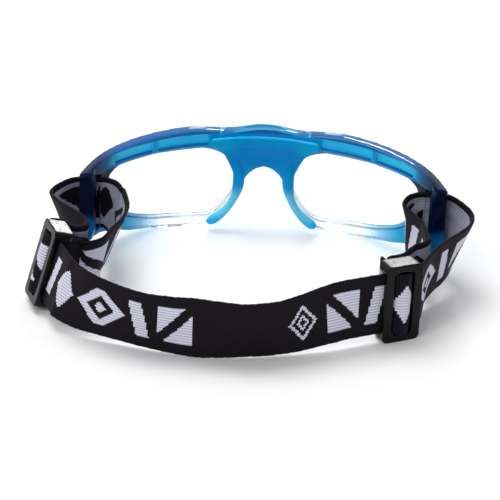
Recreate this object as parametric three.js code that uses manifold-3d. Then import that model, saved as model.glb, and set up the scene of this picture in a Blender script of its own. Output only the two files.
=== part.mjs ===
// Sports protective goggles: a wrapped one-piece front with two lenses and a silicone nose
// pad, worn on an elastic strap that is threaded through the wings and two tri-glide sliders.
// Millimetres, +X to the wearer's right, +Y to the front, +Z up.
import * as THREE from "three";
import { mergeVertices } from "three/addons/utils/BufferGeometryUtils.js";
import Module from "manifold-3d";

// ---- driving dimensions -------------------------------------------------------------------
const GAP = 0.3;                // clearance kept between neighbouring pieces
const WRAP_HALF_WIDTH = 74.6;    // the front follows half an ellipse in plan
const WRAP_DEPTH = 62;
const WING_END = 78;            // degrees round that ellipse where the wings stop
const WALL = 4.2;               // front to back thickness of the rims and wings
const BROW_WALL = 6.0;          // thickness of the bar above the lenses
const BROW_BOTTOM = 35.2;
const BROW_THINS = 52;           // degrees round the wrap where the bar starts to thin out
const LENS_THICK = 2.0;
const LENS_DEPTH = 1.3;         // from the front face to the lens
const LENS_HIDDEN = 1.0;        // how far the lens runs into its groove
const SLOT_ANGLE = 69.7;        // where the strap slot sits on the ellipse, degrees
const SLOT_WIDTH = 6;
const SLOT_LOW = 11;
const SLOT_HIGH = 34.2;
const STRAP_WIDTH = 25;
const STRAP_THICK = 1.4;
const GLIDE_HEIGHT = 31.8;       // along the strap's width
const GLIDE_WIDTH = 15.8;        // along the strap
const GLIDE_CORNER = 2.2;
const GLIDE_RAIL = 3.7;         // width of the two outer rails
const GLIDE_BAR = 3.0;          // width of the middle bar behind them
const GLIDE_END = 3.0;          // height of the two end bars
const RAIL_THICK = 2.0;
const BAR_THICK = 1.8;
const STRAP_GAP = 0.45;         // webbing to bar
const TACK_LENGTH = 16;         // bar tack, across the webbing
const TACK_WIDTH = 2.6;
const TACK_THICK = 0.5;

// Each tri-glide: its centre on the webbing, the plan direction the webbing runs through it
// towards the wing, and how far its top leans inwards.
const GLIDES = {
  left: { centre: [-81.6, -88.5, 17.2], heading: 110, lean: -15.5 },
  right: { centre: [53.2, -104.0, 15.9], heading: 26.6, lean: 0 },
};

const PC_BLUE = { color: 0x0f7fb4, roughness: 0.12, metalness: 0, transparent: true, opacity: 0.8 };
const PC_CLEAR = { color: 0xdfeef5, roughness: 0.05, metalness: 0, transparent: true, opacity: 0.35 };
const SILICONE = { color: 0x0b77c0, roughness: 0.55, metalness: 0 };
const WEBBING = { color: 0x17151a, roughness: 0.9, metalness: 0 };
const THREAD = { color: 0x2a2830, roughness: 0.7, metalness: 0 };
const BLACK_PLASTIC = { color: 0x101013, roughness: 0.22, metalness: 0 };

// ---- solids ---------------------------------------------------------------------------------
const wasm = await Module();
wasm.setup();

function solid(geometry) {
  const bare = geometry.index ? geometry.clone() : geometry;
  bare.deleteAttribute("normal");
  bare.deleteAttribute("uv");
  const merged = mergeVertices(bare, 1e-4);
  const mesh = new wasm.Mesh({
    numProp: 3,
    vertProperties: new Float32Array(merged.attributes.position.array),
    triVerts: new Uint32Array(merged.index.array),
  });
  return new wasm.Manifold(mesh);
}

function geometryOf(manifold) {
  const mesh = manifold.getMesh();
  const geometry = new THREE.BufferGeometry();
  geometry.setAttribute("position", new THREE.BufferAttribute(mesh.vertProperties, 3));
  geometry.setIndex(new THREE.BufferAttribute(mesh.triVerts, 1));
  return geometry;
}

function joined(...geometries) {
  return geometries.map(solid).reduce((sum, next) => sum.add(next));
}

// ---- outlines in the front's own x, z face --------------------------------------------------
const points = (pairs) => pairs.map(([x, z]) => new THREE.Vector2(x, z));
const mirrored = (outline) => outline.map((p) => new THREE.Vector2(-p.x, p.y)).reverse();

function smooth(pairs, count) {
  const corners = pairs.map(([x, z]) => new THREE.Vector3(x, z, 0));
  const curve = new THREE.CatmullRomCurve3(corners, true, "centripetal");
  return curve.getSpacedPoints(count).slice(0, count).map((p) => new THREE.Vector2(p.x, p.y));
}

function grown(outline, distance) {
  const count = outline.length;
  const side = THREE.ShapeUtils.isClockWise(outline) ? -1 : 1;
  return outline.map((p, i) => {
    const along = outline[(i + 1) % count].clone().sub(outline[(i + count - 1) % count]).normalize();
    return new THREE.Vector2(p.x + side * along.y * distance, p.y - side * along.x * distance);
  });
}

const EYE = smooth([
  [17.6, 31.6], [25, 34.4], [38, 35.3], [51.4, 35.1], [59.2, 33.8], [62.8, 30.2], [63.2, 25],
  [61.2, 17.5], [56, 10.8], [48, 7.2], [37, 5.4], [27, 4.5], [21.4, 5.2], [16.4, 9.8],
  [12.9, 16.2], [12.2, 22], [14, 27.6],
], 72);

// The lower rims are flat between x = 26 and x = 34, where the front stands on a table.
const FRONT_HALF = points([
  [0, 43.4], [4, 43.2], [8.5, 42.5], [12.5, 41.9], [17, 41.8], [24, 42.6], [32, 43.1], [43, 42.7],
  [52, 42.1], [60, 41.3], [66, 40.3], [69.4, 39.2], [74, 37.4],
  [74, 9.6], [69.4, 9.2], [65, 8.6], [60, 6.2], [54, 3.4], [45, 1.2], [38, 0.3], [34, 0], [26, 0],
  [22, 0.7], [18.2, 2.4], [13.6, 8.2], [9.9, 15], [8.7, 20], [7.6, 24.2], [4.6, 28.4], [0, 30],
]);

const PAD_HALF = points([
  [0, 40.4], [10, 40.2], [21.6, 39.6], [22.2, 38.6], [22.0, 36.6], [17, 33.6], [14.6, 29.2],
  [12.5, 24.4], [11.8, 20.8], [9.6, 19.2], [8.2, 21.4], [6.3, 24.2], [3.4, 26.6], [0, 27.6],
]);

function bothSides(half) {
  const inner = half.slice(1, -1);
  return [half[0], ...inner, half[half.length - 1], ...mirrored(inner)];
}

// A slab with an x, z outline that runs from front to back through the whole front.
function slab(outline) {
  const geometry = new THREE.ExtrudeGeometry(new THREE.Shape(outline), { depth: 90, bevelEnabled: false });
  geometry.rotateX(Math.PI / 2);
  return geometry.translate(0, 20, 0);
}

// ---- the wrapped walls, in plan -------------------------------------------------------------
function onWrap(degrees, depth) {
  const angle = THREE.MathUtils.degToRad(degrees);
  const normal = new THREE.Vector2(WRAP_DEPTH * Math.sin(angle), WRAP_HALF_WIDTH * Math.cos(angle));
  normal.normalize().multiplyScalar(-depth);
  const x = WRAP_HALF_WIDTH * Math.sin(angle);
  const y = WRAP_DEPTH * (Math.cos(angle) - 1);
  return new THREE.Vector2(x, y).add(normal);
}

function wrapWall(front, back, low, high, limit = WING_END, thinning = 0) {
  const steps = 44;
  const outer = [];
  const inner = [];
  for (let i = 0; i <= steps; i += 1) {
    const degrees = -limit + (2 * limit * i) / steps;
    const thinned = thinning * THREE.MathUtils.smoothstep(Math.abs(degrees), BROW_THINS, WING_END);
    outer.push(onWrap(degrees, front));
    inner.unshift(onWrap(degrees, back - thinned));
  }
  const shape = new THREE.Shape([...outer, ...inner]);
  const geometry = new THREE.ExtrudeGeometry(shape, { depth: high - low, bevelEnabled: false });
  return geometry.translate(0, 0, low);
}

// A box that stands square to the wrapped wall, centred on a place along it.
function boxOnWrap(degrees, depth, size) {
  const place = onWrap(degrees, depth);
  const ahead = onWrap(degrees + 0.5, depth).sub(onWrap(degrees - 0.5, depth));
  const geometry = new THREE.BoxGeometry(size[0], size[1], size[2]);
  geometry.rotateZ(Math.atan2(ahead.y, ahead.x));
  return geometry.translate(place.x, place.y, 0);
}

// ---- front, lenses, nose pad ----------------------------------------------------------------
// Sunk panels in the back of the bar: where each starts and ends across, and its upper edge.
const RECESSES = [[23, 43.7, 41.2], [45.3, 60, 40.7]];

function recess(from, to, high, side) {
  const low = 36.6;
  const outline = points([[from, low], [to, low], [to, high], [from, high]]);
  const face = side > 0 ? outline : mirrored(outline);
  return solid(slab(face)).intersect(solid(wrapWall(BROW_WALL - 1.6, BROW_WALL + 2, 30, 45)));
}

function frontFrame() {
  const eyes = solid(slab(EYE)).add(solid(slab(mirrored(EYE))));
  const face = solid(slab(bothSides(FRONT_HALF))).subtract(eyes);
  const rims = solid(wrapWall(0, WALL, -2, 50));
  const brow = solid(wrapWall(WALL - 1, BROW_WALL, BROW_BOTTOM, 50, WING_END, BROW_WALL - WALL));
  let body = face.intersect(rims.add(brow));
  for (const side of [-1, 1]) {
    const eye = side > 0 ? EYE : mirrored(EYE);
    const groove = wrapWall(LENS_DEPTH - GAP, LENS_DEPTH + LENS_THICK + GAP, -2, 50);
    const lens = solid(slab(grown(eye, LENS_HIDDEN + GAP)));
    body = body.subtract(lens.intersect(solid(groove)));
    const slot = boxOnWrap(side * SLOT_ANGLE, WALL / 2, [SLOT_WIDTH, 3 * WALL, SLOT_HIGH - SLOT_LOW]);
    body = body.subtract(solid(slot.translate(0, 0, (SLOT_LOW + SLOT_HIGH) / 2)));
    for (const [from, to, high] of RECESSES) {
      body = body.subtract(recess(from, to, high, side));
    }
    body = body.subtract(solid(pinHole(side)));
  }
  return geometryOf(body);
}

function lens(side) {
  const eye = side > 0 ? EYE : mirrored(EYE);
  const wall = wrapWall(LENS_DEPTH, LENS_DEPTH + LENS_THICK, -2, 50, 62);
  return geometryOf(solid(slab(grown(eye, LENS_HIDDEN))).intersect(solid(wall)));
}

const PIN_X = 18;
const PIN_Z = 38;
const PIN_RADIUS = 1.1;
const PAD_THICK = 2.6;

function pinAt(side, radius, from, to) {
  const geometry = new THREE.CylinderGeometry(radius, radius, to - from, 16);
  return geometry.translate(side * PIN_X, (from + to) / 2, PIN_Z);
}

const pinHole = (side) => pinAt(side, PIN_RADIUS + GAP, -9.5, -4.2);

// A bar of oval section along a curve, thinner or thicker as the radii say.
function ovalBar(curve, radiiAt, steps = 18, sides = 14) {
  const geometry = new THREE.CylinderGeometry(1, 1, 1, sides, steps);
  const position = geometry.attributes.position;
  for (let i = 0; i < position.count; i += 1) {
    const t = 0.5 - position.getY(i);
    const [wide, deep] = radiiAt(t);
    const centre = curve.getPoint(t);
    const along = curve.getTangent(t);
    const back = new THREE.Vector3(0, -1, 0).addScaledVector(along, along.y).normalize();
    const across = new THREE.Vector3().crossVectors(back, along);
    centre.addScaledVector(across, position.getX(i) * wide);
    centre.addScaledVector(back, position.getZ(i) * deep);
    position.setXYZ(i, centre.x, centre.y, centre.z);
  }
  return geometry;
}

// The middle of a leg, from inside the plate down to its foot.
const LEG = [
  [12.4, -8.3, 33.5], [11.2, -8.5, 28.5], [10.2, -8.9, 22.5], [11, -9.6, 16], [13.8, -10.8, 10.4],
  [17.8, -12.2, 6.4], [22.6, -13.4, 3.4],
];

function padLeg(side) {
  const curve = new THREE.CatmullRomCurve3(LEG.map(([x, y, z]) => new THREE.Vector3(side * x, y, z)));
  return ovalBar(curve, (t) => {
    const rounding = Math.sqrt(Math.max(0.2, 1 - Math.max(0, (t - 0.92) / 0.08) ** 2));
    const grown = 0.4 + 0.6 * THREE.MathUtils.smoothstep(t, 0, 0.34);
    const shank = THREE.MathUtils.smoothstep(t, 0.36, 0.62);
    const foot = THREE.MathUtils.smoothstep(t, 0.62, 0.9);
    const wide = 2.5 - 0.9 * shank + 0.4 * foot;
    const deep = 2.7 - 0.7 * shank + 0.5 * foot;
    return [wide * rounding * grown, deep * rounding * grown];
  }, 24);
}

function nosePad() {
  const plate = solid(slab(bothSides(PAD_HALF)));
  const back = BROW_WALL + GAP;
  let body = plate.intersect(solid(wrapWall(back, back + PAD_THICK, 15, 45, 40)));
  for (const side of [-1, 1]) {
    body = body.add(solid(padLeg(side)));
  }
  // keep clear of the bar above the lenses and of the rims below it
  body = body.subtract(solid(wrapWall(-5, BROW_WALL + GAP, BROW_BOTTOM - GAP, 45, 50)));
  body = body.subtract(solid(wrapWall(-5, WALL + GAP, -5, 50, 60)));
  for (const side of [-1, 1]) {
    body = body.add(solid(pinAt(side, PIN_RADIUS, -10, -4.8)));
  }
  return geometryOf(body);
}

// ---- tri-glides -----------------------------------------------------------------------------
// In the slider's own axes X runs along the webbing, Y through it (outwards) and Z across it.
const RAIL_INNER = STRAP_THICK / 2 + STRAP_GAP;
const BAR_OUTER = -(1.5 * STRAP_THICK + 2 * STRAP_GAP);
const BAR_INNER = BAR_OUTER - BAR_THICK;

function roundedBar(width, thick, length, radius) {
  const shape = new THREE.Shape();
  const w = width / 2 - radius;
  const h = thick / 2 - radius;
  shape.absarc(w, h, radius, 0, Math.PI / 2, false);
  shape.absarc(-w, h, radius, Math.PI / 2, Math.PI, false);
  shape.absarc(-w, -h, radius, Math.PI, 1.5 * Math.PI, false);
  shape.absarc(w, -h, radius, 1.5 * Math.PI, 2 * Math.PI, false);
  const options = { depth: length, bevelEnabled: false, curveSegments: 5 };
  return new THREE.ExtrudeGeometry(shape, options).translate(0, 0, -length / 2);
}

// The same bar laid down, so that its outline faces out of the webbing.
function facingOut(width, height, length, radius, y) {
  return roundedBar(width, height, length, radius).rotateX(Math.PI / 2).translate(0, y, 0);
}

function triGlide() {
  const top = RAIL_INNER + RAIL_THICK;
  const thick = top - BAR_INNER;
  const middle = (top + BAR_INNER) / 2;
  const plateY = RAIL_INNER + RAIL_THICK / 2;
  const bar = roundedBar(GLIDE_BAR, BAR_THICK, GLIDE_HEIGHT - 2, 0.8);
  const pieces = [
    facingOut(GLIDE_WIDTH, GLIDE_HEIGHT, RAIL_THICK, GLIDE_CORNER, plateY),
    bar.translate(0, (BAR_OUTER + BAR_INNER) / 2, 0),
  ];
  for (const side of [-1, 1]) {
    const end = roundedBar(GLIDE_WIDTH, thick, GLIDE_END, 2.4);
    pieces.push(end.translate(0, middle, side * (GLIDE_HEIGHT - GLIDE_END) / 2));
  }
  const windowWidth = GLIDE_WIDTH - 2 * GLIDE_RAIL;
  const windowHeight = GLIDE_HEIGHT - 2 * GLIDE_END;
  const window = facingOut(windowWidth, windowHeight, RAIL_THICK + 1, 1.6, plateY);
  const outline = facingOut(GLIDE_WIDTH, GLIDE_HEIGHT, thick + 1, GLIDE_CORNER, middle);
  return geometryOf(joined(...pieces).subtract(solid(window)).intersect(solid(outline)));
}

function glideFrame({ centre, heading, lean }) {
  const angle = THREE.MathUtils.degToRad(heading);
  const tilt = THREE.MathUtils.degToRad(lean);
  const along = new THREE.Vector3(Math.cos(angle), Math.sin(angle), 0);
  const out = new THREE.Vector3(Math.sin(angle), -Math.cos(angle), 0);
  // the left slider's webbing faces the other way round its heading
  if (heading > 90) {
    out.negate();
  }
  const up = new THREE.Vector3(0, 0, Math.cos(tilt)).addScaledVector(out, Math.sin(tilt));
  out.multiplyScalar(Math.cos(tilt)).z = -Math.sin(tilt);
  return { centre: new THREE.Vector3(...centre), along, out, up };
}

function placed(mesh, frame) {
  const flip = new THREE.Vector3().crossVectors(frame.along, frame.out).dot(frame.up) < 0;
  const along = flip ? frame.along.clone().negate() : frame.along;
  mesh.matrix.makeBasis(along, frame.out, frame.up).setPosition(frame.centre);
  mesh.matrix.decompose(mesh.position, mesh.quaternion, mesh.scale);
  return mesh;
}

// ---- webbing --------------------------------------------------------------------------------
// Stations along a stretch of webbing: centre x, y, z, then how far the upper edge leans in
// x and y for one unit of height, then the width there.
function ribbon(stations, steps, thick = STRAP_THICK) {
  const centres = new THREE.CatmullRomCurve3(stations.map((s) => new THREE.Vector3(s[0], s[1], s[2])));
  const leans = new THREE.CatmullRomCurve3(
    stations.map((s) => new THREE.Vector3(s[3], s[4], s[5] ?? STRAP_WIDTH)),
  );
  const geometry = new THREE.BoxGeometry(1, 1, 1, steps, 1, 1);
  const position = geometry.attributes.position;
  for (let i = 0; i < position.count; i += 1) {
    const t = position.getX(i) + 0.5;
    const centre = centres.getPoint(t);
    const along = centres.getTangent(t);
    const lean = leans.getPoint(t);
    const up = new THREE.Vector3(lean.x, lean.y, 1);
    up.addScaledVector(along, -up.dot(along)).normalize();
    const out = new THREE.Vector3().crossVectors(along, up);
    centre.addScaledVector(up, position.getZ(i) * lean.z);
    centre.addScaledVector(out, -position.getY(i) * thick);
    position.setXYZ(i, centre.x, centre.y, centre.z);
  }
  return geometry;
}

const GATHERED = 22.2;          // width of the webbing where a slot bunches it

// Stations given in a slider's own axes: along the webbing and out of it.
function inGlide(frame, pairs) {
  const leanX = frame.up.x / frame.up.z;
  const leanY = frame.up.y / frame.up.z;
  return pairs.map(([along, out]) => {
    const p = frame.centre.clone().addScaledVector(frame.along, along).addScaledVector(frame.out, out);
    return [p.x, p.y, p.z, leanX, leanY];
  });
}

const left = glideFrame(GLIDES.left);
const right = glideFrame(GLIDES.right);
const straight = [[-21.5, 0], [-19, 0], [-11, 0], [-3, 0], [3.6, 0], [4.6, -0.05]];

const MAIN = [
  [-65, -40.9, 22.6, 0, 0, GATHERED], [-69.6, -40.9, 22.6, -0.02, 0, GATHERED],
  [-74, -41.9, 22.2, -0.1, 0, 23], [-78.2, -45.6, 20.8, -0.22, 0, 24.4], [-79.8, -51, 19.7, -0.34, 0],
  [-77.6, -57.4, 19, -0.24, -0.1], [-74.4, -63.4, 18.6, -0.12, -0.06], [-71.4, -69, 18.2, 0, 0],
  [-69.2, -73.8, 17.8, 0.1, 0], [-69.6, -78.4, 17.6, 0.2, 0.03], [-73, -80.8, 17.6, 0.26, 0.08],
  [-76.4, -78.9, 17.4, 0.26, 0.09], [-78.8, -76.4, 17.3, 0.26, 0.09], [-82, -75.2, 17.2, 0.26, 0.09],
  [-84.2, -78, 17.2, 0.26, 0.09],
  ...inGlide(left, [...straight].reverse()),
  [-70.9, -111.9, 16.4, 0.2, 0.05], [-66.2, -115.6, 15.8, 0.12, 0], [-60, -118.8, 15, 0.04, -0.08],
  [-53, -121.8, 14.3, 0, -0.15], [-44, -125, 13.5, 0, -0.2], [-31, -127.6, 12.8, 0, -0.12],
  [-17, -129.2, 12.7, 0, -0.12], [-4, -129, 12.7, 0, -0.22], [8, -126, 12.9, 0, -0.2],
  [18, -121.6, 14, 0, -0.08], [26, -117.6, 15.2, 0, 0],
  ...inGlide(right, straight), [60.2, -99.3, 15.9, 0, 0],
  [62.2, -94.2, 16.7, 0.03, -0.08], [64.6, -86.6, 18, 0.1, -0.16], [68.8, -78.6, 18.6, 0.15, -0.18],
  [73.8, -70.8, 19, 0.24, -0.16], [77.8, -62.4, 19.2, 0.34, -0.08], [79, -53.4, 19.3, 0.34, 0],
  [77.4, -47, 20.4, 0.22, 0, 24.4], [73.8, -42.3, 22, 0.1, 0, 23],
  [69.6, -40.9, 22.6, 0.02, 0, GATHERED], [65, -40.9, 22.6, 0, 0, GATHERED],
];

const TAIL_RIGHT = [
  [64.2, -40.9, 22.6, 0, 0, GATHERED], [62.6, -40.95, 22.6, 0, 0, GATHERED],
  [60.2, -42.2, 21.9, -0.03, 0, 23.4], [58.4, -45.2, 20, -0.08, 0], [58, -49.6, 18.8, -0.1, 0],
  [59.4, -54, 18.4, -0.06, 0], [61.8, -59.4, 18, 0, 0],
  [63.4, -65.4, 17.6, 0, 0], [64.2, -70.6, 17.3, 0, 0], [64.8, -75, 17, 0, 0],
  [62.8, -78.6, 16.8, 0, 0], [59.6, -81, 16.6, 0, 0], [57, -84.4, 16.2, 0, 0],
  [54.6, -88.4, 15.9, 0, 0],
  ...inGlide(right, [[1.2, -12.6], [1, -9], [2.7, -5.6], [1.7, -2], [-1.7, -2], [-2.7, -5.6],
    [-1, -9], [-1, -14]]),
];

const TAIL_LEFT = [
  [-64.2, -40.9, 22.6, 0, 0, GATHERED], [-62.8, -41, 22.6, 0, 0, GATHERED],
  [-60, -42.8, 22, 0.06, 0, 23.4], [-57.9, -46.8, 20.6, 0.18, 0],
  [-56.8, -54, 19.4, 0.3, -0.04], [-57, -62, 18.8, 0.36, -0.1], [-58.4, -70, 18.4, 0.36, -0.12],
  [-60.6, -77, 17.6, 0.32, -0.04], [-63, -82, 15.8, 0.28, 0.04], [-66.6, -84.6, 14.2, 0.26, 0.09],
  ...inGlide(left, [[-1.1, -12.2], [-1, -9], [-2.7, -5.6], [-1.7, -2], [1.7, -2], [2.7, -5.6],
    [1, -9], [1, -13.6]]),
];

// The stitched bar that closes each sewn end, on the face of the webbing ahead of the slider.
function barTack() {
  const face = 1 + STRAP_THICK / 2 + GAP + TACK_THICK / 2;
  const geometry = new THREE.BoxGeometry(TACK_THICK, TACK_WIDTH, TACK_LENGTH, 1, 1, 1);
  return geometry.translate(-face, -10, 0);
}

// ---- the object -----------------------------------------------------------------------------
const goggles = new THREE.Group();

function add(name, geometry, finish) {
  const mesh = new THREE.Mesh(geometry, new THREE.MeshStandardMaterial(finish));
  mesh.name = name;
  goggles.add(mesh);
  return mesh;
}

add("front_frame", frontFrame(), PC_BLUE);
add("lens_left", lens(-1), PC_CLEAR);
add("lens_right", lens(1), PC_CLEAR);
add("nose_pad", nosePad(), SILICONE);
add("strap", ribbon(MAIN, 170), WEBBING);
add("strap_tail_left", ribbon(TAIL_LEFT, 60), WEBBING);
add("strap_tail_right", ribbon(TAIL_RIGHT, 60), WEBBING);
placed(add("triglide_left", triGlide(), BLACK_PLASTIC), left);
placed(add("triglide_right", triGlide(), BLACK_PLASTIC), right);
placed(add("bar_tack_left", barTack(), THREAD), left);
placed(add("bar_tack_right", barTack(), THREAD), right);

// The origin is the middle of the bounding box's underside.
goggles.updateMatrixWorld(true);
const box = new THREE.Box3().setFromObject(goggles, true);
const middle = box.getCenter(new THREE.Vector3());
goggles.position.set(-middle.x, -middle.y, -box.min.z);
goggles.updateMatrixWorld(true);

export default goggles;
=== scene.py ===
"""Looks for the sports protective goggles: translucent front, clear lenses, silicone nose pad,
patterned elastic strap, black sliders and thread, on a pale studio floor."""

import math

import bmesh
import bpy
import numpy as np
from mathutils import Matrix, Vector


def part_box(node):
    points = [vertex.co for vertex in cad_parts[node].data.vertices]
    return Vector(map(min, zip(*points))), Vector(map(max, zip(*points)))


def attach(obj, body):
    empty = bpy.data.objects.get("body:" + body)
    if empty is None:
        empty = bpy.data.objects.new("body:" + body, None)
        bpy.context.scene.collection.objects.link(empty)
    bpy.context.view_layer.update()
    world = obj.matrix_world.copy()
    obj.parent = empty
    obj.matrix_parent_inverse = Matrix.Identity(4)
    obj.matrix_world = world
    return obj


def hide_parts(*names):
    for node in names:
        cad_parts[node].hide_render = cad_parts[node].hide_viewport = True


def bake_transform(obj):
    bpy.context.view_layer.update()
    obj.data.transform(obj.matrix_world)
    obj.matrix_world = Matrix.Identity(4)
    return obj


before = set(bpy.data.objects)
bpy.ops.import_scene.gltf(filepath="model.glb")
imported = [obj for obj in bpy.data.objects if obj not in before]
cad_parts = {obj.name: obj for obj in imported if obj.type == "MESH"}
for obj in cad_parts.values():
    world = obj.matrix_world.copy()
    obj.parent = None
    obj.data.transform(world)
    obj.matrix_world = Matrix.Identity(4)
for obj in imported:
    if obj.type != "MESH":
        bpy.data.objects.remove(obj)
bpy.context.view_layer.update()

MM = 0.001
FRONT_LOW, FRONT_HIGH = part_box("front_frame")
# The front's own origin: the middle of the bridge's front face, on the floor.
ORIGIN = np.array([(FRONT_LOW.x + FRONT_HIGH.x) / 2, FRONT_HIGH.y, 0.0])

# ---- camera ---------------------------------------------------------------------------------
AIM = Vector((-4.16, -31.0, 0.0)) * MM + Vector(ORIGIN)
ELEVATION = 25.0
DISTANCE = 1.0
ROLL = 2.7
LENS = 176.4


def add_camera():
    data = bpy.data.cameras.new("camera")
    data.lens = LENS
    data.sensor_width = 36.0
    data.clip_start = 0.05
    data.clip_end = 30.0
    camera = bpy.data.objects.new("camera", data)
    bpy.context.scene.collection.objects.link(camera)
    tilt = math.radians(ELEVATION)
    back = Vector((0, -math.cos(tilt), math.sin(tilt)))
    turn = (-back).to_track_quat("-Z", "Y").to_matrix().to_4x4()
    roll = Matrix.Rotation(math.radians(ROLL), 4, "Z")
    camera.matrix_world = Matrix.Translation(AIM + back * DISTANCE) @ turn @ roll
    bpy.context.scene.camera = camera


# ---- node materials -------------------------------------------------------------------------
class Nodes:
    """A small helper that adds nodes to a material's or a group's tree and links them."""

    def __init__(self, tree):
        self.tree = tree

    def add(self, kind, inputs=(), **settings):
        node = self.tree.nodes.new(kind)
        for name, value in settings.items():
            setattr(node, name, value)
        for key, value in dict(inputs).items():
            self.feed(node.inputs[key], value)
        return node

    def feed(self, socket, value):
        if isinstance(value, bpy.types.NodeSocket):
            self.tree.links.new(value, socket)
        else:
            socket.default_value = value

    def math(self, operation, *values):
        return self.add("ShaderNodeMath", enumerate(values), operation=operation).outputs[0]

    def blend(self, factor, a, b):
        node = self.add("ShaderNodeMix", data_type="RGBA")
        self.feed(node.inputs["Factor"], factor)
        self.feed(node.inputs[6], a)
        self.feed(node.inputs[7], b)
        return node.outputs[2]

    def step(self, value, start, end, low=0.0, high=1.0):
        inputs = {"Value": value, 1: start, 2: end, 3: low, 4: high}
        node = self.add("ShaderNodeMapRange", inputs, interpolation_type="SMOOTHSTEP")
        return node.outputs[0]

    def split(self, vector):
        return self.add("ShaderNodeSeparateXYZ", {0: vector}).outputs

    def noise(self, vector, scale, detail=2.0, roughness=0.5):
        inputs = {"Vector": vector, "Scale": scale, "Detail": detail, "Roughness": roughness}
        return self.add("ShaderNodeTexNoise", inputs).outputs[0]

    def bump(self, height, distance):
        inputs = {"Height": height, "Distance": distance, "Strength": 1.0}
        return self.add("ShaderNodeBump", inputs).outputs[0]


def new_material(name):
    material = bpy.data.materials.new(name)
    material.use_nodes = True
    material.node_tree.nodes.clear()
    return material, Nodes(material.node_tree)


def principled(n, **inputs):
    names = {key.replace("_", " "): value for key, value in inputs.items()}
    return n.add("ShaderNodeBsdfPrincipled", names)


def surface(n, shader):
    n.add("ShaderNodeOutputMaterial", {"Surface": shader})


def lets_light_through(n, shader, tint):
    """Lamps shine through the piece in its own colour instead of casting a black shadow."""
    clear = n.add("ShaderNodeBsdfTransparent", {"Color": tint}).outputs[0]
    shadow = n.add("ShaderNodeLightPath").outputs["Is Shadow Ray"]
    return n.add("ShaderNodeMixShader", {0: shadow, 1: shader, 2: clear}).outputs[0]


def rgb(red, green, blue):
    """A display colour, 0 to 255, as the linear colour that shaders take."""
    linear = []
    for value in (red, green, blue):
        part = value / 255
        linear.append(part / 12.92 if part <= 0.04045 else ((part + 0.055) / 1.055) ** 2.4)
    return (*linear, 1.0)


def front_places(n):
    """The node of coordinates, then a place in millimetres: its distance from the middle, its
    depth (0 at the bridge's front face, negative behind it) and its height over the floor."""
    coordinates = n.add("ShaderNodeTexCoord")
    x, y, z = n.split(coordinates.outputs["Object"])
    x = n.math("MULTIPLY", n.math("SUBTRACT", x, float(ORIGIN[0])), 1000.0)
    y = n.math("MULTIPLY", n.math("SUBTRACT", y, float(ORIGIN[1])), 1000.0)
    z = n.math("MULTIPLY", z, 1000.0)
    return coordinates, n.math("ABSOLUTE", x), y, z


def both(n, *masks):
    """Where all of the masks apply."""
    result = masks[0]
    for mask in masks[1:]:
        result = n.math("MULTIPLY", result, mask)
    return result


def without(n, mask):
    """Where the mask doesn't apply."""
    return n.math("SUBTRACT", 1.0, mask)


def distance_from(n, value, middle):
    return n.math("ABSOLUTE", n.math("SUBTRACT", value, middle))


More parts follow.
